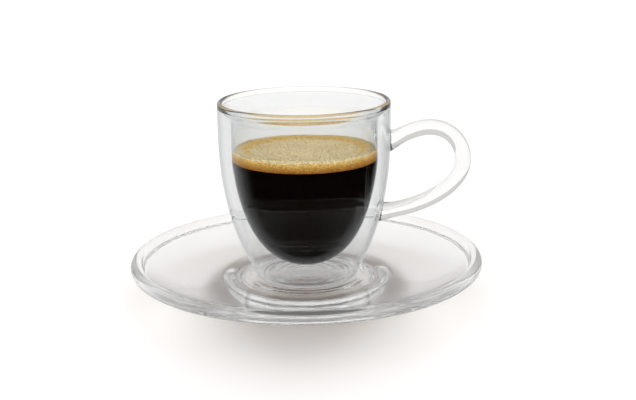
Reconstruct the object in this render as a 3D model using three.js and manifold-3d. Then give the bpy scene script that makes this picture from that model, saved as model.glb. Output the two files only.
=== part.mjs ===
// A double espresso in a double-walled glass cup with a rod handle, standing on a clear glass saucer.
// Millimetres, +Z up. The origin is the centre of the saucer's foot, and the handle points to +X.
import * as THREE from "three";
import { mergeVertices } from "three/addons/utils/BufferGeometryUtils.js";
import Module from "manifold-3d";

const wasm = await Module();
wasm.setup();

// Saucer: a shallow plate with a round bead at its edge and a stepped well for the cup.
const SAUCER_RADIUS = 64.7;
const BEAD_RADIUS = 2.3;
const BEAD_HEIGHT = 11.4;
const WELL_FLOOR = 5.2;
const WELL_RADIUS = 24.6;
const WELL_STEP_RADIUS = 29.6;
const SHELF_HEIGHT = 6.4;
const RING_INNER_RADIUS = 24.6;
const RING_OUTER_RADIUS = 28.8;
const RING_DEPTH = 2.6;

// Cup, outer wall: a rounded foot, a tapering lower half and an almost upright upper half.
const FOOT_RADIUS = 16.0;
const FOOT_CORNER = 3.5;
const RIM_RADIUS = 31.15;
const RIM_HEIGHT = 70.8;
const LIP_RADIUS = 1.0;
const OUTER_WALL = 1.2;
const WALL_UPRIGHT = 62;
const VENT_RADIUS = 1.5;

// Cup, inner bowl: egg-shaped, hung from the lip and clear of the outer wall.
const BOWL_BOTTOM = 9.8;
const BOWL_RADIUS = 26.7;
const BOWL_SHOULDER = 48.5;
const BOWL_NECK = 63.5;
const INNER_WALL = 1.0;
const CROWN_GAP = 0.4;

// Handle: a round rod bent to a loop, flared where it joins the wall.
const ROD_RADIUS = 2.85;
const FLARE = 1.2;
const FLARE_LENGTH = 5.4;
const HANDLE_START = [29.2, 54.8];
const HANDLE_TOP = [45.3, 60.0];
const HANDLE_REACH = [57.7, 47.6];
const HANDLE_END = [25.2, 28.7];

// Drink: the coffee and the foam that floats on it.
const FILL_GAP = 0.3;
const COFFEE_TOP = 49.7;
const FOAM_TOP = 52.4;
const FOAM_COLLAR = 1.5;
const COLLAR_WIDTH = 5.6;

const CUP_SEGMENTS = 48;
const SAUCER_SEGMENTS = 64;

const glass = (color) =>
  new THREE.MeshStandardMaterial({ color, roughness: 0.05, metalness: 0, transparent: true, opacity: 0.35 });
const MATERIALS = {
  saucer: glass(0xe4e7e6),
  cup: glass(0xe8ecec),
  espresso: new THREE.MeshStandardMaterial({ color: 0x120a06, roughness: 0.15, metalness: 0 }),
  crema: new THREE.MeshStandardMaterial({ color: 0xc9b488, roughness: 0.6, metalness: 0 }),
};

const v2 = (x, y) => new THREE.Vector2(x, y);

// Points of a cubic curve in the (radius, height) half plane.
function curve(points, steps) {
  const [a, b, c, d] = points.map(([x, y]) => v2(x, y));
  return new THREE.CubicBezierCurve(a, b, c, d).getPoints(steps);
}

// Points of a round corner, from one angle to another in degrees.
function arc(x, y, radius, from, to, steps) {
  const turn = THREE.MathUtils.degToRad;
  return new THREE.EllipseCurve(x, y, radius, radius, turn(from), turn(to), to < from).getPoints(steps);
}

// The same run of points moved sideways, to the left of its direction of travel.
function offset(points, distance) {
  return points.map((p, i) => {
    const before = points[Math.max(i - 1, 0)];
    const after = points[Math.min(i + 1, points.length - 1)];
    const t = v2(after.x - before.x, after.y - before.y).normalize();
    return v2(Math.max(p.x - t.y * distance, 0), p.y + t.x * distance);
  });
}

// One profile from several runs, without the points that repeat.
function joined(...runs) {
  return runs.flat().filter((p, i, all) => i === 0 || p.distanceTo(all[i - 1]) > 0.02);
}

function turned(profile, segments) {
  return new THREE.LatheGeometry(profile, segments).rotateX(Math.PI / 2);
}

// A closed geometry as a solid that can be joined and cut.
function solid(geometry) {
  const bare = new THREE.BufferGeometry();
  bare.setAttribute("position", geometry.getAttribute("position").clone());
  bare.setIndex(geometry.index ? geometry.index.clone() : null);
  const merged = mergeVertices(bare, 1e-4);
  const triangles = [];
  const index = merged.index.array;
  for (let i = 0; i < index.length; i += 3) {
    const [a, b, c] = [index[i], index[i + 1], index[i + 2]];
    if (a !== b && b !== c && c !== a) triangles.push(a, b, c);
  }
  const mesh = new wasm.Mesh({
    numProp: 3,
    vertProperties: merged.getAttribute("position").array,
    triVerts: new Uint32Array(triangles),
  });
  return new wasm.Manifold(mesh);
}

function surface(shape) {
  const { vertProperties, triVerts } = shape.getMesh();
  const geometry = new THREE.BufferGeometry();
  geometry.setAttribute("position", new THREE.BufferAttribute(vertProperties, 3));
  geometry.setIndex(new THREE.BufferAttribute(triVerts, 1));
  const flat = geometry.toNonIndexed();
  flat.computeVertexNormals();
  return flat;
}

function saucerProfile() {
  const beadX = SAUCER_RADIUS - BEAD_RADIUS;
  const foot = [
    v2(0, RING_DEPTH),
    v2(RING_INNER_RADIUS - 0.9, RING_DEPTH),
    v2(RING_INNER_RADIUS, 0.5),
    v2(RING_INNER_RADIUS + 0.6, 0),
    v2(RING_OUTER_RADIUS - 0.7, 0),
    v2(RING_OUTER_RADIUS, 0.6),
    v2(RING_OUTER_RADIUS + 1, RING_DEPTH),
  ];
  const underside = curve([[31.6, 3.2], [42, 4.2], [52, 5.4], [60.8, 9.7]], 5);
  const bead = arc(beadX, BEAD_HEIGHT, BEAD_RADIUS, -62, 192, 8);
  const plate = curve([[59.2, 10.1], [50, 7.3], [40, SHELF_HEIGHT], [31.4, SHELF_HEIGHT]], 5);
  const reach = WELL_STEP_RADIUS - WELL_RADIUS;
  const step = curve(
    [
      [WELL_STEP_RADIUS, SHELF_HEIGHT],
      [WELL_STEP_RADIUS - 0.5 * reach, SHELF_HEIGHT],
      [WELL_RADIUS + 0.4 * reach, WELL_FLOOR],
      [WELL_RADIUS, WELL_FLOOR],
    ],
    4,
  );
  return joined(foot, underside, bead, plate, step, [v2(0, WELL_FLOOR)]);
}

// Outside of the cup from the foot to just under the lip.
function outerWall() {
  const corner = arc(FOOT_RADIUS, WELL_FLOOR + FOOT_CORNER, FOOT_CORNER, -90, -15, 4);
  const end = corner[corner.length - 1];
  const taper = curve([[end.x, end.y], [24.7, 17.9], [31.6, 33.2], [RIM_RADIUS, WALL_UPRIGHT]], 8);
  return joined(corner, taper, [v2(RIM_RADIUS, RIM_HEIGHT - LIP_RADIUS)]);
}

// Outside of the inner bowl, from the axis up to its upright neck.
function bowlOutside(steps) {
  const egg = curve(
    [[0, BOWL_BOTTOM], [18.2, BOWL_BOTTOM], [24.5, 29.4], [BOWL_RADIUS, BOWL_SHOULDER]],
    steps,
  );
  return joined(egg, [v2(BOWL_RADIUS, BOWL_NECK)]);
}

function cupProfile() {
  const outside = outerWall();
  const neckX = RIM_RADIUS - 2 * LIP_RADIUS;
  const inside = BOWL_RADIUS - INNER_WALL;
  const throat = curve([[neckX, RIM_HEIGHT - LIP_RADIUS], [neckX, 67], [inside, 67], [inside, BOWL_NECK]], 6);
  // The space between the walls ends where they come together under the lip.
  const wallX = RIM_RADIUS - OUTER_WALL;
  const flareOut = offset(throat, INNER_WALL)
    .filter((p) => p.x < wallX - CROWN_GAP)
    .reverse();
  const { x: crownX, y: crownZ } = flareOut[flareOut.length - 1];
  const gap = wallX - crownX;
  const crown = arc(crownX + gap / 2, crownZ, gap / 2, 180, 0, 4);
  const bowl = joined(bowlOutside(10), flareOut);
  const hollowWall = offset(outside, OUTER_WALL)
    .filter((p) => p.y < crownZ - 0.1)
    .reverse();
  const vent = [v2(VENT_RADIUS, WELL_FLOOR + OUTER_WALL), v2(VENT_RADIUS, WELL_FLOOR)];
  const lip = arc(RIM_RADIUS - LIP_RADIUS, RIM_HEIGHT - LIP_RADIUS, LIP_RADIUS, 0, 180, 6);
  const cavity = offset(bowlOutside(10), INNER_WALL).reverse();
  return joined(bowl, crown, hollowWall, vent, outside, lip, throat, cavity);
}

// A short cone that widens the rod towards the wall.
function flare([x, z], [towardX, towardZ]) {
  const axis = new THREE.Vector3(towardX - x, 0, towardZ - z).normalize();
  const cone = new THREE.CylinderGeometry(ROD_RADIUS - 0.02, ROD_RADIUS + FLARE, FLARE_LENGTH, 16);
  cone.applyQuaternion(new THREE.Quaternion().setFromUnitVectors(new THREE.Vector3(0, 1, 0), axis));
  cone.translate(x + axis.x * FLARE_LENGTH * 0.5, 0, z + axis.z * FLARE_LENGTH * 0.5);
  return solid(cone);
}

function handle() {
  const at = ([x, z]) => new THREE.Vector3(x, 0, z);
  const [topX, topZ] = HANDLE_TOP;
  const [reachX, reachZ] = HANDLE_REACH;
  const path = new THREE.CurvePath();
  path.add(new THREE.CubicBezierCurve3(at(HANDLE_START), at([35.4, 56.6]), at([39.2, topZ]), at(HANDLE_TOP)));
  path.add(new THREE.CubicBezierCurve3(at(HANDLE_TOP), at([52.4, topZ]), at([reachX, 54.6]), at(HANDLE_REACH)));
  path.add(new THREE.CubicBezierCurve3(at(HANDLE_REACH), at([reachX, 37.4]), at([41.5, 28.7]), at(HANDLE_END)));
  const section = new THREE.Shape().absarc(0, 0, ROD_RADIUS, 0, 2 * Math.PI);
  const rod = solid(
    new THREE.ExtrudeGeometry(section, { steps: 30, curveSegments: 8, bevelEnabled: false, extrudePath: path }),
  );
  const upper = flare([28.6, 54.6], [36, 56.8]);
  const lower = flare([24.4, 28.7], [36, 28.8]);
  // The rod stops half way through the wall, where it is fused to it.
  const core = joined([v2(0, WELL_FLOOR + 1)], offset(outerWall(), OUTER_WALL / 2), [v2(0, RIM_HEIGHT - LIP_RADIUS)]);
  return rod.add(upper).add(lower).subtract(solid(turned(core, CUP_SEGMENTS)));
}

function coffeeProfile() {
  const side = offset(bowlOutside(10), INNER_WALL + FILL_GAP).filter((p) => p.y < COFFEE_TOP - 0.5);
  const radius = BOWL_RADIUS - INNER_WALL - FILL_GAP;
  return joined(side, [v2(radius, COFFEE_TOP), v2(0, COFFEE_TOP)]);
}

function foamProfile() {
  const radius = BOWL_RADIUS - INNER_WALL - FILL_GAP;
  const edge = FOAM_TOP + FOAM_COLLAR;
  const collar = curve(
    [[radius, edge - 0.9], [radius, edge + 0.3], [radius - 2.5, edge + 0.3], [radius - COLLAR_WIDTH, FOAM_TOP]],
    6,
  );
  return joined([v2(0, COFFEE_TOP), v2(radius, COFFEE_TOP)], collar, [v2(0, FOAM_TOP)]);
}

const SHAPES = {
  saucer: turned(saucerProfile(), SAUCER_SEGMENTS),
  cup: surface(solid(turned(cupProfile(), CUP_SEGMENTS)).add(handle())),
  espresso: turned(coffeeProfile(), CUP_SEGMENTS),
  crema: turned(foamProfile(), CUP_SEGMENTS),
};

const object = new THREE.Group();
for (const [name, shape] of Object.entries(SHAPES)) {
  const mesh = new THREE.Mesh(shape, MATERIALS[name]);
  mesh.name = name;
  object.add(mesh);
}

export default object;
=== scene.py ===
"""Espresso in a double-walled glass cup on a glass saucer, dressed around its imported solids."""

import math

import bmesh
import bpy
import numpy as np
from bpy.props import FloatProperty, FloatVectorProperty, IntProperty, PointerProperty
from mathutils import Matrix, Vector


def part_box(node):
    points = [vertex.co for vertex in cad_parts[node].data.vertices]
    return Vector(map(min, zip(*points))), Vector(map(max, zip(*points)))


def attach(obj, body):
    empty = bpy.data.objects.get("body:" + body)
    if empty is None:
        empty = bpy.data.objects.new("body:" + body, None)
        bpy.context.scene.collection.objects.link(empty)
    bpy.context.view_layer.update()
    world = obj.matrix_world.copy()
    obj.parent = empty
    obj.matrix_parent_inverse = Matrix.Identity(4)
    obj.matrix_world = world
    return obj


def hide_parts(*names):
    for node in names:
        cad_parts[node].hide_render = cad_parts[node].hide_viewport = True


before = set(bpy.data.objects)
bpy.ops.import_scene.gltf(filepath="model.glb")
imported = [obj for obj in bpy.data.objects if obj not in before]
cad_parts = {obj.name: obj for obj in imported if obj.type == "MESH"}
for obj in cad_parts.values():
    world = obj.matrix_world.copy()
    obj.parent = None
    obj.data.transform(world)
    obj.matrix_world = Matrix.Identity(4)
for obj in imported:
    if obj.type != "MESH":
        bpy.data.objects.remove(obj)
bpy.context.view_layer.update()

bl_info = {
    "name": "Glass Espresso Cup",
    "version": (1, 0, 0),
    "blender": (4, 5, 0),
    "location": "View3D > Sidebar > Espresso",
    "description": "Builds an espresso in a double-walled glass cup on a glass saucer",
    "category": "Add Mesh",
}

SAUCER_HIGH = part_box("saucer")[1]
CUP_LOW, CUP_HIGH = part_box("cup")
MM = 0.001


def length(name, description, default):
    """A size in metres that shows in the sidebar."""
    return FloatProperty(
        name=name, description=description, default=default, unit="LENGTH", precision=5
    )


def colour(name, description, default):
    """A linear colour that shows in the sidebar."""
    return FloatVectorProperty(
        name=name, description=description, default=default, subtype="COLOR", min=0, max=1
    )


def strength(name, description, default):
    """A plain factor that shows in the sidebar."""
    return FloatProperty(name=name, description=description, default=default, min=0)


def angle(name, description, degrees):
    """An angle that shows in the sidebar."""
    return FloatProperty(
        name=name, description=description, default=math.radians(degrees), subtype="ANGLE"
    )


class SaucerSizes(bpy.types.PropertyGroup):
    """Sizes of the saucer."""

    radius: length("Radius", "From the axis to the outside of the bead", SAUCER_HIGH.x)
    bead_radius: length("Bead", "Radius of the round edge", 2.3 * MM)
    bead_height: length("Bead height", "Middle of the edge above the table", 11.4 * MM)
    well_floor: length("Well floor", "Where the cup stands, above the table", CUP_LOW.z)
    well_radius: length("Well radius", "Flat part of the well", 24.6 * MM)
    step_radius: length("Step radius", "Outer end of the step round the well", 29.6 * MM)
    shelf_height: length("Shelf height", "Plate surface just outside the step", 6.4 * MM)
    ring_inner: length("Foot ring inside", "Inner radius of the foot ring", 24.6 * MM)
    ring_outer: length("Foot ring outside", "Outer radius of the foot ring", 28.8 * MM)
    ring_depth: length("Foot ring depth", "Underside of the plate above the table", 2.6 * MM)
    ripple: length("Ripple", "Height of the pressed rings in the well", 0.10 * MM)


class CupSizes(bpy.types.PropertyGroup):
    """Sizes of the double-walled cup and its handle."""

    rim_radius: length("Rim radius", "Outside of the lip", 31.15 * MM)
    rim_height: length("Rim height", "Top of the lip above the table", CUP_HIGH.z)
    lip_radius: length("Lip", "Radius of the rounded lip", 0.9 * MM)
    foot_radius: length("Foot radius", "Flat part of the cup's underside", 16.0 * MM)
    foot_corner: length("Foot corner", "Rounding from the foot to the wall", 3.5 * MM)
    outer_wall: length("Outer wall", "Thickness of the outer wall", 0.9 * MM)
    inner_wall: length("Inner wall", "Thickness of the inner bowl", 0.8 * MM)
    bowl_bottom: length("Bowl bottom", "Underside of the bowl above the table", 9.8 * MM)
    bowl_radius: length("Bowl radius", "Outside of the bowl at its widest", 26.5 * MM)
    bowl_shoulder: length("Bowl shoulder", "Where the bowl turns upright", 48.5 * MM)
    bowl_neck: length("Bowl neck", "Where the bowl opens to the lip", 63.5 * MM)
    crown_gap: length("Crown gap", "Width of the hollow where it ends under the lip", 0.3 * MM)
    rod_radius: length("Rod radius", "Radius of the handle's glass rod", 2.85 * MM)
    rod_flare: length("Rod flare", "How much the rod widens at the wall", 1.2 * MM)
    unevenness: length("Unevenness", "How far the blown walls stray from round", 0.03 * MM)


class DrinkLook(bpy.types.PropertyGroup):
    """Sizes and colours of the coffee and its foam."""

    coffee_top: length("Coffee level", "Where the foam begins", 49.7 * MM)
    foam_top: length("Foam level", "Flat part of the foam", 52.4 * MM)
    collar: length("Collar", "How far the foam climbs the glass", 1.5 * MM)
    collar_width: length("Collar width", "Width of the raised edge", 5.6 * MM)
    tilt: length("Tilt", "How much higher the foam stands in front than at its sides", 0.6 * MM)
    wetting: length("Wetting", "How far the drink reaches into the glass", 0.1 * MM)
    coffee: colour("Coffee", "Colour of the coffee", (0.0022, 0.0012, 0.0008))
    coffee_shade: colour(
        "Coffee shade", "Light that each side of the coffee lets through", (0.38, 0.27, 0.21)
    )
    foam_tan: colour("Foam top", "Colour of the flat foam", (0.95, 0.77, 0.44))
    foam_cream: colour("Foam cream", "Pale upper edge of the foam", (0.93, 0.78, 0.46))
    foam_gold: colour("Foam gold", "Upper half of the foam's side", (0.88, 0.58, 0.18))
    foam_amber: colour("Foam amber", "Lower half of the foam's side", (0.60, 0.32, 0.06))
    foam_brown: colour("Foam brown", "Foot of the foam's side", (0.42, 0.16, 0.02))
    bubbles: strength("Bubbles", "Bubbles on each square metre of foam", 4.0e5)
    bubble_size: length("Bubble size", "Radius of the largest bubbles", 0.22 * MM)
    seed: IntProperty(name="Seed", description="Start of the random draws", default=7)


class StageLook(bpy.types.PropertyGroup):
    """Camera, floor and light."""

    distance: length("Distance", "From the cup's axis to the camera", 0.390)
    height: length("Height", "Camera above the table", 0.1387)
    pitch: angle("Pitch", "How far the camera looks down", 15.11)
    yaw: angle("Yaw", "How far the camera turns to the right", 0.67)
    roll: angle("Roll", "How far the camera leans", 0.87)
    lens: strength("Lens", "Focal length in mm", 62.2)
    floor: colour("Floor", "Colour of the table", (0.88, 0.88, 0.88))
    sky: colour("Sky", "Colour and strength of the even light", (0.71, 0.69, 0.672))
    lamp: strength("Lamp", "Strength of the wide soft lamp", 2.25)
    foam_lamp: strength("Foam lamps", "Strength of each low lamp that lights the foam", 1.45)
    mirror_up: strength("Mirrored above", "Brightness that the glass mirrors from above", 0.7)
    mirror_back: strength("Mirrored behind", "Brightness that the glass mirrors from behind", 0.6)
    mirror_lean: strength("Mirrored lean", "How far that brightness leans to the left", 0.35)
    mirror_below: strength("Mirrored below", "Brightness that the glass mirrors from below", 0.42)
    mirror_deep: strength("Mirrored deep", "Brightness at the second mirroring and later", 1.0)
    mirror_shade: strength("Mirrored shade", "How much darker those are at the back", 0.72)


def curve(points, steps):
    """Points of a cubic curve in the (radius, height) half plane."""
    a, b, c, d = (np.array(p, float) for p in points)
    t = np.linspace(0, 1, steps + 1)[:, None]
    return (1 - t) ** 3 * a + 3 * (1 - t) ** 2 * t * b + 3 * (1 - t) * t * t * c + t**3 * d


def arc(x, y, radius, start, end, steps):
    """Points of a round corner, from one angle to another in degrees."""
    t = np.radians(np.linspace(start, end, steps + 1))
    return np.stack([x + radius * np.cos(t), y + radius * np.sin(t)], -1)


def line(a, b, steps):
    """Even points from a to b."""
    t = np.linspace(0, 1, steps + 1)[:, None]
    return (1 - t) * np.array(a, float) + t * np.array(b, float)


def shifted(points, distance):
    """The same run of points moved to the left of its direction of travel."""
    t = np.gradient(points, axis=0)
    t /= np.linalg.norm(t, axis=1)[:, None]
    moved = points + distance * np.stack([-t[:, 1], t[:, 0]], -1)
    moved[:, 0] = np.maximum(moved[:, 0], 0)
    return moved


def joined(*runs):
    """One profile from several runs, without the points that repeat."""
    points = np.concatenate([np.asarray(r, float).reshape(-1, 2) for r in runs])
    step = np.linalg.norm(np.diff(points, axis=0), axis=1)
    return points[np.append(True, step > 1e-5)]


def turned(name, profile, segments, bend=None, inward=False):
    """A closed mesh of revolution from a profile that starts and ends on the axis."""
    theta = np.linspace(0, 2 * math.pi, segments, endpoint=False)
    vertices, rings = [], []
    for r, z in profile:
        if r < 1e-7:
            rings.append([len(vertices)])
            vertices.append((0.0, 0.0, z))
        else:
            radius, height = np.full(segments, r), np.full(segments, z)
            if bend:
                radius, height = bend(radius, height, theta)
            rings.append(list(range(len(vertices), len(vertices) + segments)))
            vertices.extend(zip(radius * np.cos(theta), radius * np.sin(theta), height))
    faces = []
    for low, high in zip(rings, rings[1:]):
        for i in range(segments):
            k = (i + 1) % segments
            if len(low) == 1:
                face = (low[0], high[k], high[i])
            elif len(high) == 1:
                face = (low[i], low[k], high[0])
            else:
                face = (low[i], low[k], high[k], high[i])
            faces.append(face[::-1] if inward else face)
    mesh = bpy.data.meshes.new(name)
    mesh.from_pydata(vertices, [], faces)
    mesh.shade_smooth()
    return mesh


def placed(name, mesh, material):
    """An object at the origin with that mesh and finish."""
    piece = bpy.data.objects.new(name, mesh)
    bpy.context.scene.collection.objects.link(piece)
    mesh.materials.clear()
    mesh.materials.append(material)
    return piece


def baked(piece):
    """The piece's evaluated mesh as a plain one."""
    graph = bpy.context.evaluated_depsgraph_get()
    return bpy.data.meshes.new_from_object(piece.evaluated_get(graph), depsgraph=graph)


def finished(piece, node):
    """Stands the piece for its solid, on the one body."""
    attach(piece, "root")
    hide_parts(node)


def new_material(name):
    """An empty node material, its tree and its output."""
    material = bpy.data.materials.new(name)
    material.use_nodes = True
    tree = material.node_tree
    tree.nodes.clear()
    output = tree.nodes.new("ShaderNodeOutputMaterial")
    return material, tree, output


def passing(tree, surface, colour, rays):
    """Lets those rays through the surface, dimmed by a colour."""
    path = tree.nodes.new("ShaderNodeLightPath")
    for ray in rays:
        through = tree.nodes.new("ShaderNodeBsdfTransparent")
        if isinstance(colour, tuple):
            through.inputs["Color"].default_value = (*colour, 1)
        else:
            tree.links.new(colour, through.inputs["Color"])
        mix = tree.nodes.new("ShaderNodeMixShader")
        tree.links.new(path.outputs[ray], mix.inputs[0])
        tree.links.new(surface, mix.inputs[1])
        tree.links.new(through.outputs[0], mix.inputs[2])
        surface = mix.outputs[0]
    return surface


def glass_material(name, tint, clear, slanted, haze=0.0, ring=None):
    """Clear glass; lamps pass it freely face on, less at a slant and less through a thick ring."""
    material, tree, output = new_material(name)
    new, link = tree.nodes.new, tree.links.new
    glass = new("ShaderNodeBsdfPrincipled")
    glass.inputs["Base Color"].default_value = (*tint, 1)
    glass.inputs["Roughness"].default_value = 0.0
    glass.inputs["IOR"].default_value = 1.47
    glass.inputs["Transmission Weight"].default_value = 1.0 - haze
    slant = new("ShaderNodeLayerWeight")
    slant.inputs["Blend"].default_value = 0.5
    fall = slant.outputs["Facing"]
    if ring:
        middle, spread, share = ring
        place = new("ShaderNodeTexCoord")
        flat = new("ShaderNodeVectorMath")
        flat.operation = "MULTIPLY"
        flat.inputs[1].default_value = (1, 1, 0)
        link(place.outputs["Object"], flat.inputs[0])
        radial = new("ShaderNodeVectorMath")
        radial.operation = "LENGTH"
        link(flat.outputs[0], radial.inputs[0])
        off = new("ShaderNodeMath")
        off.operation = "SUBTRACT"
        off.inputs[1].default_value = middle
        link(radial.outputs["Value"], off.inputs[0])
        away = new("ShaderNodeMath")
        away.operation = "ABSOLUTE"
        link(off.outputs[0], away.inputs[0])
        thick = new("ShaderNodeMapRange")
        thick.interpolation_type = "SMOOTHSTEP"
        thick.inputs["From Max"].default_value = spread
        thick.inputs["To Min"].default_value = share
        thick.inputs["To Max"].default_value = 0.0
        link(away.outputs[0], thick.inputs["Value"])
        most = new("ShaderNodeMath")
        most.operation = "MAXIMUM"
        link(fall, most.inputs[0])
        link(thick.outputs[0], most.inputs[1])
        fall = most.outputs[0]
    shade = new("ShaderNodeValToRGB")
    shade.color_ramp.elements[0].position = 0.4
    shade.color_ramp.elements[0].color = (*clear, 1)
    shade.color_ramp.elements[1].color = (*slanted, 1)
    link(fall, shade.inputs["Fac"])
    surface = passing(
        tree, glass.outputs[0], shade.outputs["Color"], ("Is Diffuse Ray", "Is Shadow Ray")
    )
    link(surface, output.inputs["Surface"])
    return material


def coffee_material(look):
    """Dark coffee, wet and smooth."""
    material, tree, output = new_material("Dark coffee")
    shader = tree.nodes.new("ShaderNodeBsdfPrincipled")
    shader.inputs["Roughness"].default_value = 0.3
    shader.inputs["Specular IOR Level"].default_value = 0.0
    place = tree.nodes.new("ShaderNodeTexCoord")
    cloud = tree.nodes.new("ShaderNodeTexNoise")
    cloud.inputs["Scale"].default_value = 120
    tree.links.new(place.outputs["Object"], cloud.inputs["Vector"])
    ramp = tree.nodes.new("ShaderNodeValToRGB")
    ramp.color_ramp.elements[0].color = (*[0.8 * c for c in look.coffee], 1)
    ramp.color_ramp.elements[1].color = (*[1.4 * c for c in look.coffee], 1)
    tree.links.new(cloud.outputs["Fac"], ramp.inputs["Fac"])
    tree.links.new(ramp.outputs["Color"], shader.inputs["Base Color"])
    surface = passing(tree, shader.outputs[0], tuple(look.coffee_shade), ("Is Shadow Ray",))
    tree.links.new(surface, output.inputs["Surface"])
    return material


def foam_material(look, radius):
    """Fine foam: tan and even on top, running from cream to brown down its side."""
    material, tree, output = new_material("Crema foam")
    new, link = tree.nodes.new, tree.links.new
    shader = new("ShaderNodeBsdfPrincipled")
    shader.inputs["Roughness"].default_value = 0.55
    shader.inputs["Specular IOR Level"].default_value = 0.25
    place = new("ShaderNodeTexCoord")
    split = new("ShaderNodeSeparateXYZ")
    link(place.outputs["Object"], split.inputs[0])
    # Height in the layer, from 0 at the coffee to 1 at the flat top.
    height = new("ShaderNodeMapRange")
    height.inputs["From Min"].default_value = look.coffee_top
    height.inputs["From Max"].default_value = look.foam_top + look.collar
    link(split.outputs["Z"], height.inputs["Value"])
    wander = new("ShaderNodeTexNoise")
    wander.inputs["Scale"].default_value = 260
    wander.inputs["Detail"].default_value = 3
    link(place.outputs["Object"], wander.inputs["Vector"])
    sway = new("ShaderNodeMath")
    sway.operation = "MULTIPLY_ADD"
    link(wander.outputs["Fac"], sway.inputs[0])
    sway.inputs[1].default_value = 0.24
    link(height.outputs[0], sway.inputs[2])
    side = new("ShaderNodeValToRGB")
    stops = side.color_ramp.elements
    stops[0].position, stops[0].color = 0.20, (*look.foam_brown, 1)
    stops[1].position, stops[1].color = 1.0, (*look.foam_cream, 1)
    stops.new(0.52).color = (*look.foam_amber, 1)
    stops.new(0.86).color = (*look.foam_gold, 1)
    link(sway.outputs[0], side.inputs["Fac"])
    # Upward faces take the even tan of the top.
    facing = new("ShaderNodeNewGeometry")
    normal = new("ShaderNodeSeparateXYZ")
    link(facing.outputs["Normal"], normal.inputs[0])
    top = new("ShaderNodeMapRange")
    top.inputs["From Min"].default_value = 0.55
    top.inputs["From Max"].default_value = 0.85
    link(normal.outputs["Z"], top.inputs["Value"])
    mottle = new("ShaderNodeTexNoise")
    mottle.inputs["Scale"].default_value = 90
    mottle.inputs["Detail"].default_value = 4
    link(place.outputs["Object"], mottle.inputs["Vector"])
    tan = new("ShaderNodeValToRGB")
    tan.color_ramp.elements[0].position = 0.3
    tan.color_ramp.elements[1].position = 0.7
    tan.color_ramp.elements[0].color = (*[0.9 * c for c in look.foam_tan], 1)
    tan.color_ramp.elements[1].color = (*[1.06 * c for c in look.foam_tan], 1)
    link(mottle.outputs["Fac"], tan.inputs["Fac"])
    # Towards the glass the top rises and turns from gold to cream.
    flat = new("ShaderNodeVectorMath")
    flat.operation = "MULTIPLY"
    flat.inputs[1].default_value = (1, 1, 0)
    link(place.outputs["Object"], flat.inputs[0])
    radial = new("ShaderNodeVectorMath")
    radial.operation = "LENGTH"
    link(flat.outputs[0], radial.inputs[0])
    ring = new("ShaderNodeMapRange")
    ring.inputs["From Min"].default_value = radius - 1.3 * look.collar_width
    ring.inputs["From Max"].default_value = radius
    ring.inputs["To Min"].default_value = -0.12
    ring.inputs["To Max"].default_value = 0.88
    link(radial.outputs["Value"], ring.inputs["Value"])
    stray = new("ShaderNodeMath")
    stray.operation = "MULTIPLY_ADD"
    link(wander.outputs["Fac"], stray.inputs[0])
    stray.inputs[1].default_value = 0.24
    link(ring.outputs[0], stray.inputs[2])
    edge = new("ShaderNodeValToRGB")
    edge.color_ramp.elements[0].position = 0.42
    edge.color_ramp.elements[1].position = 0.86
    edge.color_ramp.elements[0].color = (*look.foam_gold, 1)
    edge.color_ramp.elements[1].color = (*look.foam_cream, 1)
    link(stray.outputs[0], edge.inputs["Fac"])
    near = new("ShaderNodeMapRange")
    near.interpolation_type = "SMOOTHSTEP"
    near.inputs["From Min"].default_value = 0.10
    near.inputs["From Max"].default_value = 0.46
    link(stray.outputs[0], near.inputs["Value"])
    upper = new("ShaderNodeMix")
    upper.data_type = "RGBA"
    link(near.outputs[0], upper.inputs["Factor"])
    link(tan.outputs["Color"], upper.inputs[6])
    link(edge.outputs["Color"], upper.inputs[7])
    blend = new("ShaderNodeMix")
    blend.data_type = "RGBA"
    link(top.outputs[0], blend.inputs["Factor"])
    link(side.outputs["Color"], blend.inputs[6])
    link(upper.outputs[2], blend.inputs[7])
    # Fine bubbles as a grain of lighter and darker specks.
    cells = new("ShaderNodeTexVoronoi")
    cells.inputs["Scale"].default_value = 1600
    link(place.outputs["Object"], cells.inputs["Vector"])
    grain = new("ShaderNodeMapRange")
    grain.inputs["From Max"].default_value = 0.6
    grain.inputs["To Min"].default_value = 1.22
    grain.inputs["To Max"].default_value = 0.6
    link(cells.outputs["Distance"], grain.inputs["Value"])
    speck = new("ShaderNodeMix")
    speck.data_type = "RGBA"
    speck.blend_type = "MULTIPLY"
    speck.inputs["Factor"].default_value = 1.0
    link(blend.outputs[2], speck.inputs[6])
    link(grain.outputs[0], speck.inputs[7])
    link(speck.outputs[2], shader.inputs["Base Color"])
    bump = new("ShaderNodeBump")
    bump.inputs["Strength"].default_value = 0.25
    bump.inputs["Distance"].default_value = 0.0002
    link(cells.outputs["Distance"], bump.inputs["Height"])
    link(bump.outputs[0], shader.inputs["Normal"])
    link(shader.outputs[0], output.inputs["Surface"])
    return material


def outer_wall(cup):
    """Outside of the cup from the edge of its foot to just under the lip."""
    floor = CUP_LOW.z
    corner = arc(cup.foot_radius, floor + cup.foot_corner, cup.foot_corner, -90, -15, 14)
    taper = curve(
        [corner[-1], (24.7 * MM, 17.9 * MM), (31.6 * MM, 33.2 * MM), (cup.rim_radius, 62 * MM)],
        60,
    )
    top = (cup.rim_radius, cup.rim_height - cup.lip_radius)
    return joined(corner, taper, line(taper[-1], top, 16))


def bowl_outside(cup):
    """Outside of the inner bowl, from the axis up to its upright neck."""
    egg = curve(
        [
            (0, cup.bowl_bottom),
            (18.2 * MM, cup.bowl_bottom),
            (24.5 * MM, 29.4 * MM),
            (cup.bowl_radius, cup.bowl_shoulder),
        ],
        70,
    )
    return joined(egg, line(egg[-1], (cup.bowl_radius, cup.bowl_neck), 14))


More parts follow.
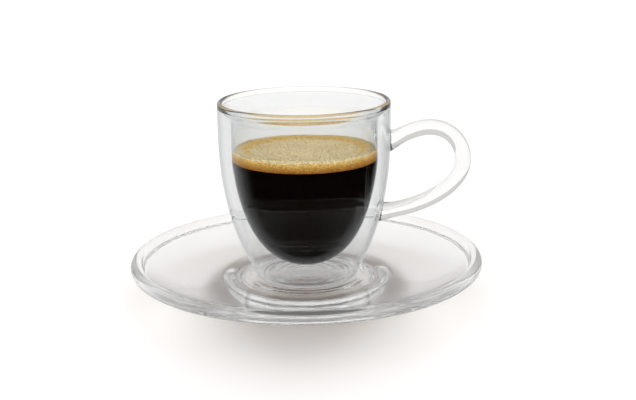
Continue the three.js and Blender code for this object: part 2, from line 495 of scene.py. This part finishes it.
def bowl_inside(cup, extra=0.0):
    """Inside of the bowl, moved further in by extra, from the axis up to its neck."""
    run = shifted(bowl_outside(cup), cup.inner_wall + extra)
    run[0, 0] = 0
    return run


def blown(cup):
    """The slight unevenness of a wall blown by mouth, with slow waves round and up it."""

    def bend(radius, height, theta):
        wave = (
            np.sin(3 * theta + 90 * height + 0.7)
            + 0.7 * np.sin(5 * theta - 140 * height + 2.1)
            + 0.5 * np.sin(9 * theta + 210 * height)
        )
        share = np.clip(radius / cup.rim_radius, 0, 1) ** 2
        return radius + cup.unevenness * wave * share, height

    return bend


def throat(cup):
    """Inside of the bowl where it opens to the lip, from the lip down to the neck."""
    lip = cup.rim_radius - 2 * cup.lip_radius
    shoulder = cup.rim_height - cup.lip_radius
    inside = cup.bowl_radius - cup.inner_wall
    return curve(
        [(lip, shoulder), (lip, 67.0 * MM), (inside, 67.0 * MM), (inside, cup.bowl_neck)], 60
    )


def cup_skin(cup):
    """Everything that touches the air outside: foot, wall, lip and the inside of the bowl."""
    lip = arc(
        cup.rim_radius - cup.lip_radius,
        cup.rim_height - cup.lip_radius,
        cup.lip_radius,
        0,
        180,
        26,
    )
    foot = line((0, CUP_LOW.z), (cup.foot_radius, CUP_LOW.z), 16)
    foot[:, 1] += 0.25 * MM * (1 - (foot[:, 0] / cup.foot_radius) ** 2)
    return joined(foot, outer_wall(cup), lip, throat(cup), bowl_inside(cup)[::-1])


def cup_hollow(cup):
    """The closed space between the two walls."""
    wall = shifted(outer_wall(cup), cup.outer_wall)
    floor = line((0, wall[0, 1]), wall[0], 40)
    floor[:, 1] += 0.06 * MM * np.cos(floor[:, 0] / MM * 2.1) * (floor[:, 0] / wall[0, 0])
    flare = shifted(throat(cup), cup.inner_wall)
    flare = flare[flare[:, 0] < wall[-1, 0] - cup.crown_gap]
    edge, height = flare[0]
    half = (wall[-1, 0] - edge) / 2
    top = arc(edge + half, height, half, 0, 180, 10)
    wall = wall[wall[:, 1] < height]
    bowl = bowl_outside(cup)
    bowl = bowl[bowl[:, 1] < flare[-1, 1]]
    return joined(floor, wall, top, flare, bowl[::-1])


def add_socket(tree, name, kind, default=None):
    """A named input of a node group."""
    socket = tree.interface.new_socket(name=name, in_out="INPUT", socket_type=kind)
    if default is not None:
        socket.default_value = default
    return socket


def rod_tree():
    """Sweeps a glass rod along a curve and widens it towards both ends."""
    tree = bpy.data.node_groups.new("Handle rod", "GeometryNodeTree")
    add_socket(tree, "Geometry", "NodeSocketGeometry")
    add_socket(tree, "Rod Radius", "NodeSocketFloat", 0.003)
    add_socket(tree, "Flare", "NodeSocketFloat", 0.001)
    add_socket(tree, "Flare Share", "NodeSocketFloat", 0.08)
    add_socket(tree, "Steps", "NodeSocketInt", 160)
    add_socket(tree, "Sides", "NodeSocketInt", 48)
    add_socket(tree, "Finish", "NodeSocketMaterial")
    tree.interface.new_socket(name="Geometry", in_out="OUTPUT", socket_type="NodeSocketGeometry")
    new, link = tree.nodes.new, tree.links.new
    source, sink = new("NodeGroupInput"), new("NodeGroupOutput")
    even = new("GeometryNodeResampleCurve")
    link(source.outputs["Geometry"], even.inputs["Curve"])
    link(source.outputs["Steps"], even.inputs["Count"])
    along = new("GeometryNodeSplineParameter")
    back = new("ShaderNodeMath")
    back.operation = "SUBTRACT"
    back.inputs[0].default_value = 1.0
    link(along.outputs["Factor"], back.inputs[1])
    nearest = new("ShaderNodeMath")
    nearest.operation = "MINIMUM"
    link(along.outputs["Factor"], nearest.inputs[0])
    link(back.outputs[0], nearest.inputs[1])
    widen = new("ShaderNodeMapRange")
    widen.interpolation_type = "SMOOTHSTEP"
    link(nearest.outputs[0], widen.inputs["Value"])
    link(source.outputs["Flare Share"], widen.inputs["From Max"])
    link(source.outputs["Flare"], widen.inputs["To Min"])
    widen.inputs["To Max"].default_value = 0.0
    total = new("ShaderNodeMath")
    link(widen.outputs[0], total.inputs[0])
    link(source.outputs["Rod Radius"], total.inputs[1])
    section = new("GeometryNodeCurvePrimitiveCircle")
    section.inputs["Radius"].default_value = 1.0
    link(source.outputs["Sides"], section.inputs["Resolution"])
    sweep = new("GeometryNodeCurveToMesh")
    link(even.outputs[0], sweep.inputs["Curve"])
    link(section.outputs[0], sweep.inputs["Profile Curve"])
    link(total.outputs[0], sweep.inputs["Scale"])
    sweep.inputs["Fill Caps"].default_value = True
    weld = new("GeometryNodeMergeByDistance")
    weld.inputs["Distance"].default_value = 1e-6
    link(sweep.outputs[0], weld.inputs["Geometry"])
    real = new("GeometryNodeRealizeInstances")
    link(weld.outputs[0], real.inputs[0])
    finish = new("GeometryNodeSetMaterial")
    link(real.outputs[0], finish.inputs["Geometry"])
    link(source.outputs["Finish"], finish.inputs["Material"])
    link(finish.outputs[0], sink.inputs[0])
    return tree


def bubble_tree():
    """Scatters small round bubbles over the upward faces of a mesh."""
    tree = bpy.data.node_groups.new("Foam bubbles", "GeometryNodeTree")
    add_socket(tree, "Geometry", "NodeSocketGeometry")
    add_socket(tree, "Density", "NodeSocketFloat", 4e5)
    add_socket(tree, "Smallest", "NodeSocketFloat", 0.0001)
    add_socket(tree, "Largest", "NodeSocketFloat", 0.0002)
    add_socket(tree, "Seed", "NodeSocketInt", 0)
    add_socket(tree, "Finish", "NodeSocketMaterial")
    tree.interface.new_socket(name="Geometry", in_out="OUTPUT", socket_type="NodeSocketGeometry")
    new, link = tree.nodes.new, tree.links.new
    source, sink = new("NodeGroupInput"), new("NodeGroupOutput")
    facing = new("GeometryNodeInputNormal")
    split = new("ShaderNodeSeparateXYZ")
    link(facing.outputs[0], split.inputs[0])
    upward = new("FunctionNodeCompare")
    upward.data_type = "FLOAT"
    upward.operation = "GREATER_THAN"
    upward.inputs["B"].default_value = 0.3
    link(split.outputs["Z"], upward.inputs["A"])
    spread = new("GeometryNodeDistributePointsOnFaces")
    link(source.outputs["Geometry"], spread.inputs["Mesh"])
    link(upward.outputs[0], spread.inputs["Selection"])
    link(source.outputs["Density"], spread.inputs["Density"])
    link(source.outputs["Seed"], spread.inputs["Seed"])
    ball = new("GeometryNodeMeshIcoSphere")
    ball.inputs["Radius"].default_value = 1.0
    ball.inputs["Subdivisions"].default_value = 2
    size = new("FunctionNodeRandomValue")
    size.data_type = "FLOAT"
    link(source.outputs["Smallest"], size.inputs[2])
    link(source.outputs["Largest"], size.inputs[3])
    link(source.outputs["Seed"], size.inputs["Seed"])
    copies = new("GeometryNodeInstanceOnPoints")
    link(spread.outputs["Points"], copies.inputs["Points"])
    link(ball.outputs["Mesh"], copies.inputs["Instance"])
    link(size.outputs[1], copies.inputs["Scale"])
    real = new("GeometryNodeRealizeInstances")
    link(copies.outputs[0], real.inputs[0])
    round_off = new("GeometryNodeSetShadeSmooth")
    link(real.outputs[0], round_off.inputs["Geometry"])
    finish = new("GeometryNodeSetMaterial")
    link(round_off.outputs[0], finish.inputs["Geometry"])
    link(source.outputs["Finish"], finish.inputs["Material"])
    link(finish.outputs[0], sink.inputs[0])
    return tree


def set_inputs(modifier, **values):
    """Sets a node modifier's inputs by the names of its sockets."""
    sockets = {
        item.name.replace(" ", "_").lower(): item.identifier
        for item in modifier.node_group.interface.items_tree
        if item.in_out == "INPUT"
    }
    for name, value in values.items():
        modifier[sockets[name]] = value


def handle_curve():
    """The middle line of the handle as a smooth curve in the plane of the axis."""
    knots = [
        ((28.0, 54.4), (24.0, 53.2), (34.4, 56.3)),
        ((45.3, 60.0), (39.2, 60.0), (52.4, 60.0)),
        ((57.7, 47.6), (57.7, 54.6), (57.7, 37.4)),
        ((24.0, 28.7), (41.5, 28.7), (20.0, 28.7)),
    ]
    data = bpy.data.curves.new("Handle line", "CURVE")
    data.dimensions = "3D"
    data.resolution_u = 40
    spline = data.splines.new("BEZIER")
    spline.bezier_points.add(len(knots) - 1)
    for point, (at, before, after) in zip(spline.bezier_points, knots):
        point.handle_left_type = point.handle_right_type = "FREE"
        point.co = Vector((at[0], 0, at[1])) * MM
        point.handle_left = Vector((before[0], 0, before[1])) * MM
        point.handle_right = Vector((after[0], 0, after[1])) * MM
    return data


class ESPRESSO_OT_saucer(bpy.types.Operator):
    """Turn the clear glass saucer"""

    bl_idname = "espresso.saucer"
    bl_label = "Saucer"

    def execute(self, context):
        s = context.scene.espresso_saucer
        bead_x = s.radius - s.bead_radius
        inner, outer, depth = s.ring_inner, s.ring_outer, s.ring_depth
        start, end = (inner - 1.4 * MM, depth), (outer + 2.8 * MM, 3.2 * MM)
        low, high = (inner + 0.7 * MM, 0), (outer - 0.8 * MM, 0)
        under = line((0, depth), start, 30)
        ring = joined(
            curve([start, (inner - 0.2 * MM, depth), (inner, 0.8 * MM), low], 10),
            line(low, high, 4),
            curve([high, (outer + 0.2 * MM, 0), (outer, depth), end], 14),
        )
        slope = curve([end, (42 * MM, 4.2 * MM), (52 * MM, 5.4 * MM), (60.8 * MM, 9.5 * MM)], 40)
        bead = arc(bead_x, s.bead_height, s.bead_radius, -55, 190, 36)
        plate = curve(
            [
                (59.6 * MM, 10.3 * MM),
                (50 * MM, 7.3 * MM),
                (40 * MM, s.shelf_height),
                (s.step_radius + 1.6 * MM, s.shelf_height),
            ],
            40,
        )
        reach = s.step_radius - s.well_radius
        step = curve(
            [
                (s.step_radius, s.shelf_height),
                (s.step_radius - 0.5 * reach, s.shelf_height),
                (s.well_radius + 0.4 * reach, s.well_floor),
                (s.well_radius, s.well_floor),
            ],
            18,
        )
        well = line((s.well_radius, s.well_floor), (0, s.well_floor), 60)
        inside = np.clip((well[:, 0] - 17.5 * MM) / (2 * MM), 0, 1)
        outside = np.clip((s.well_radius - well[:, 0]) / (2 * MM), 0, 1)
        well[:, 1] += s.ripple * inside * outside * np.sin(well[:, 0] / MM * 2.4)
        profile = joined(under, ring, slope, bead, plate, step, well)
        glass = glass_material(
            "Saucer glass",
            tint=(0.95, 0.955, 0.955),
            clear=(1.0, 0.995, 0.99),
            slanted=(0.12, 0.06, 0.04),
            haze=0.05,
            ring=(32 * MM, 14 * MM, 0.8),
        )
        piece = placed("saucer_glass", turned("saucer_glass", profile, 256), glass)
        finished(piece, "saucer")
        return {"FINISHED"}


class ESPRESSO_OT_cup(bpy.types.Operator):
    """Turn the double-walled cup and fuse its rod handle to it"""

    bl_idname = "espresso.cup"
    bl_label = "Cup"

    def execute(self, context):
        c = context.scene.espresso_cup
        glass = glass_material(
            "Cup glass",
            tint=(0.945, 0.955, 0.958),
            clear=(0.985, 0.985, 0.98),
            slanted=(0.30, 0.25, 0.22),
        )
        rod = bpy.data.objects.new("handle_rod", handle_curve())
        context.scene.collection.objects.link(rod)
        sweep = rod.modifiers.new("Rod", "NODES")
        sweep.node_group = rod_tree()
        set_inputs(
            sweep,
            rod_radius=c.rod_radius,
            flare=c.rod_flare,
            flare_share=0.11,
            steps=150,
            sides=40,
            finish=glass,
        )
        rod_piece = placed("handle_solid", baked(rod), glass)
        bpy.data.objects.remove(rod)
        piece = placed("cup_glass", turned("cup_glass", cup_skin(c), 192, blown(c)), glass)
        fuse = piece.modifiers.new("Fuse", "BOOLEAN")
        fuse.operation = "UNION"
        fuse.solver = "MANIFOLD"
        fuse.object = rod_piece
        whole = bmesh.new()
        whole.from_mesh(baked(piece))
        whole.from_mesh(turned("cup_hollow", cup_hollow(c), 192, blown(c), inward=True))
        piece.modifiers.clear()
        mesh = bpy.data.meshes.new("cup_glass_whole")
        whole.to_mesh(mesh)
        whole.free()
        if len(mesh.polygons) < 20000:
            raise RuntimeError("the handle could not be fused to the cup")
        mesh.shade_smooth()
        mesh.materials.clear()
        mesh.materials.append(glass)
        piece.data = mesh
        bpy.data.objects.remove(rod_piece)
        finished(piece, "cup")
        return {"FINISHED"}


class ESPRESSO_OT_coffee(bpy.types.Operator):
    """Fill the bowl with coffee up to the foam"""

    bl_idname = "espresso.coffee"
    bl_label = "Coffee"

    def execute(self, context):
        c, d = context.scene.espresso_cup, context.scene.espresso_drink
        side = bowl_inside(c, -d.wetting)
        side = side[side[:, 1] < d.coffee_top - 0.2 * MM]
        rim = (c.bowl_radius - c.inner_wall + d.wetting, d.coffee_top)
        profile = joined(side, [rim], line(rim, (0, d.coffee_top), 6)[1:])
        piece = placed("coffee", turned("coffee", profile, 128), coffee_material(d))
        piece.visible_diffuse = False
        finished(piece, "espresso")
        return {"FINISHED"}


class ESPRESSO_OT_crema(bpy.types.Operator):
    """Lay the foam on the coffee and scatter bubbles over it"""

    bl_idname = "espresso.crema"
    bl_label = "Crema"

    def execute(self, context):
        c, d = context.scene.espresso_cup, context.scene.espresso_drink
        radius = c.bowl_radius - c.inner_wall + d.wetting
        foot, edge = d.coffee_top + 0.02 * MM, d.foam_top + d.collar
        base = line((0, foot), (radius, foot), 6)
        side = line((radius, foot), (radius, edge - 0.9 * MM), 14)
        collar = curve(
            [
                (radius, edge - 0.9 * MM),
                (radius, edge + 0.3 * MM),
                (radius - 0.45 * d.collar_width, edge + 0.3 * MM),
                (radius - d.collar_width, d.foam_top),
            ],
            24,
        )
        top = line((radius - d.collar_width, d.foam_top), (0, d.foam_top), 40)

        def uneven(r, z, theta):
            lift = np.clip((z - foot) / (d.foam_top - foot), 0, 1.3)
            lift = lift * np.clip(r / radius, 0, 1) ** 3
            wave = 0.10 * np.sin(3 * theta + 0.4) + 0.07 * np.sin(7 * theta + 1.9)
            wave += 0.05 * np.sin(13 * theta) + 0.03 * np.sin(29 * theta + 1)
            return r, z + lift * (wave * MM - d.tilt * np.sin(theta))

        foam = foam_material(d, radius)
        mesh = turned("crema", joined(base, side, collar, top), 160, uneven)
        piece = placed("crema", mesh, foam)
        scatter = placed("crema_scatter", mesh.copy(), foam)
        bubbles = scatter.modifiers.new("Bubbles", "NODES")
        bubbles.node_group = bubble_tree()
        set_inputs(
            bubbles,
            density=d.bubbles,
            smallest=0.4 * d.bubble_size,
            largest=d.bubble_size,
            seed=d.seed,
            finish=foam,
        )
        beads = placed("crema_bubbles", baked(scatter), foam)
        bpy.data.objects.remove(scatter)
        finished(piece, "crema")
        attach(beads, "root")
        return {"FINISHED"}


class ESPRESSO_OT_stage(bpy.types.Operator):
    """Set the pale table, the soft light and the camera"""

    bl_idname = "espresso.stage"
    bl_label = "Stage"

    def execute(self, context):
        scene, look = context.scene, context.scene.espresso_stage
        table_material, tree, output = new_material("Pale table")
        paint = tree.nodes.new("ShaderNodeBsdfDiffuse")
        paint.inputs["Color"].default_value = (*look.floor, 1)
        unseen = tree.nodes.new("ShaderNodeBsdfTransparent")
        path = tree.nodes.new("ShaderNodeLightPath")
        mix = tree.nodes.new("ShaderNodeMixShader")
        tree.links.new(path.outputs["Glossy Depth"], mix.inputs[0])
        tree.links.new(paint.outputs[0], mix.inputs[1])
        tree.links.new(unseen.outputs[0], mix.inputs[2])
        tree.links.new(mix.outputs[0], output.inputs["Surface"])
        sheet = bpy.data.meshes.new("table")
        half, drop = 6.0, -0.03 * MM
        corners = [(x * half, y * half, drop) for x, y in ((-1, -1), (1, -1), (1, 1), (-1, 1))]
        sheet.from_pydata(corners, [], [(0, 1, 2, 3)])
        table = placed("table", sheet, table_material)
        self.light(scene, look)
        self.camera(scene, look)
        scene.view_settings.view_transform = "Standard"
        scene.cycles.use_denoising = True
        scene.cycles.max_bounces = 40
        scene.cycles.transmission_bounces = 32
        scene.cycles.transparent_max_bounces = 32
        scene.cycles.glossy_bounces = 32
        scene.cycles.diffuse_bounces = 4
        scene.cycles.caustics_refractive = False
        scene.cycles.caustics_reflective = False
        return {"FINISHED"}

    def light(self, scene, look):
        """Even light all round, one wide lamp behind and two low ones in front."""
        world = bpy.data.worlds.new("Studio")
        world.use_nodes = True
        scene.world = world
        tree = world.node_tree
        tree.nodes.clear()
        new, link = tree.nodes.new, tree.links.new
        output, sky = new("ShaderNodeOutputWorld"), new("ShaderNodeBackground")
        place, split = new("ShaderNodeTexCoord"), new("ShaderNodeSeparateXYZ")
        link(place.outputs["Generated"], split.inputs[0])
        # Once mirrored: bright from above and from behind on the left, dark low in front.
        lean = new("ShaderNodeMath")
        lean.operation = "MULTIPLY_ADD"
        link(split.outputs["X"], lean.inputs[0])
        lean.inputs[1].default_value = -look.mirror_lean
        link(split.outputs["Y"], lean.inputs[2])

        def rising(source, low, high, most):
            part = new("ShaderNodeMapRange")
            part.interpolation_type = "SMOOTHSTEP"
            part.inputs["From Min"].default_value = low
            part.inputs["From Max"].default_value = high
            part.inputs["To Max"].default_value = most
            link(source, part.inputs["Value"])
            return part.outputs[0]

        def worked(operation, first, second):
            node = new("ShaderNodeMath")
            node.operation = operation
            link(first, node.inputs[0])
            link(second, node.inputs[1])
            return node.outputs[0]

        x, y, z = split.outputs
        above = rising(z, -0.05, 0.10, look.mirror_up)
        behind = rising(lean.outputs[0], 0.35, 0.85, look.mirror_back)
        below = worked(
            "MULTIPLY", rising(y, 0.12, 0.35, look.mirror_below), rising(z, -0.40, -0.60, 1.0)
        )
        mirror = worked("MAXIMUM", worked("MAXIMUM", above, behind), below)
        # After more mirrorings it is bright, and greyer towards the back wall.
        shade = worked(
            "MULTIPLY", rising(y, 0.45, 0.80, look.mirror_shade), rising(z, -0.15, 0.10, 1.0)
        )
        shade = worked("MAXIMUM", shade, rising(z, 0.60, 0.90, look.mirror_deep))
        bright = new("ShaderNodeMath")
        bright.operation = "SUBTRACT"
        bright.use_clamp = True
        bright.inputs[0].default_value = look.mirror_deep
        link(shade, bright.inputs[1])
        path = new("ShaderNodeLightPath")
        again = new("ShaderNodeMath")
        again.operation = "SUBTRACT"
        again.inputs[1].default_value = 1.0
        again.use_clamp = True
        link(path.outputs["Glossy Depth"], again.inputs[0])
        deep = new("ShaderNodeMix")
        deep.data_type = "RGBA"
        link(again.outputs[0], deep.inputs["Factor"])
        link(mirror, deep.inputs[6])
        link(bright.outputs[0], deep.inputs[7])
        pick = new("ShaderNodeMix")
        pick.data_type = "RGBA"
        link(path.outputs["Glossy Depth"], pick.inputs["Factor"])
        pick.inputs[6].default_value = (*look.sky, 1)
        link(deep.outputs[2], pick.inputs[7])
        link(pick.outputs[2], sky.inputs["Color"])
        link(sky.outputs[0], output.inputs["Surface"])
        data = bpy.data.lights.new("Soft lamp", "SUN")
        data.energy = look.lamp
        data.angle = math.radians(38)
        lamp = bpy.data.objects.new("Soft lamp", data)
        lamp.rotation_euler = (math.radians(-47), math.radians(3), 0)
        lamp.visible_glossy = False
        lamp.visible_transmission = False
        scene.collection.objects.link(lamp)
        for turn in (-55, 55):
            near = bpy.data.lights.new("Foam lamp", "SUN")
            near.energy = look.foam_lamp
            near.angle = math.radians(8)
            front = bpy.data.objects.new("Foam lamp", near)
            front.rotation_euler = (math.radians(85.5), 0, math.radians(turn))
            front.visible_glossy = False
            front.visible_transmission = False
            scene.collection.objects.link(front)

    def camera(self, scene, look):
        """A camera in front of the cup, looking a little down, with the handle on the right."""
        data = bpy.data.cameras.new("Camera")
        data.lens = look.lens
        data.sensor_width = 36
        data.clip_start = 0.01
        data.clip_end = 50
        eye = bpy.data.objects.new("Camera", data)
        turn = (
            Matrix.Rotation(-look.yaw, 4, "Z")
            @ Matrix.Rotation(math.pi / 2 - look.pitch, 4, "X")
            @ Matrix.Rotation(-look.roll, 4, "Z")
        )
        eye.matrix_world = Matrix.Translation((0, -look.distance, look.height)) @ turn
        scene.collection.objects.link(eye)
        scene.camera = eye


class ESPRESSO_PT_panel(bpy.types.Panel):
    """Sizes, colours and steps of the espresso"""

    bl_label = "Glass espresso cup"
    bl_idname = "ESPRESSO_PT_panel"
    bl_space_type = "VIEW_3D"
    bl_region_type = "UI"
    bl_category = "Espresso"

    def draw(self, context):
        for step in STEPS:
            self.layout.operator(step.bl_idname)
        for group in GROUPS:
            box = self.layout.box()
            settings = getattr(context.scene, group)
            box.label(text=settings.bl_rna.description)
            for name in settings.__annotations__:
                box.prop(settings, name)


STEPS = (
    ESPRESSO_OT_saucer,
    ESPRESSO_OT_cup,
    ESPRESSO_OT_coffee,
    ESPRESSO_OT_crema,
    ESPRESSO_OT_stage,
)
GROUPS = {
    "espresso_saucer": SaucerSizes,
    "espresso_cup": CupSizes,
    "espresso_drink": DrinkLook,
    "espresso_stage": StageLook,
}


def register():
    for kind in (*GROUPS.values(), *STEPS, ESPRESSO_PT_panel):
        bpy.utils.register_class(kind)
    for name, kind in GROUPS.items():
        setattr(bpy.types.Scene, name, PointerProperty(type=kind))


def unregister():
    for name in GROUPS:
        delattr(bpy.types.Scene, name)
    for kind in (ESPRESSO_PT_panel, *reversed(STEPS), *reversed(GROUPS.values())):
        bpy.utils.unregister_class(kind)


def main():
    register()
    bpy.ops.espresso.saucer()
    bpy.ops.espresso.cup()
    bpy.ops.espresso.coffee()
    bpy.ops.espresso.crema()
    bpy.ops.espresso.stage()


if __name__ == "__main__":
    main()
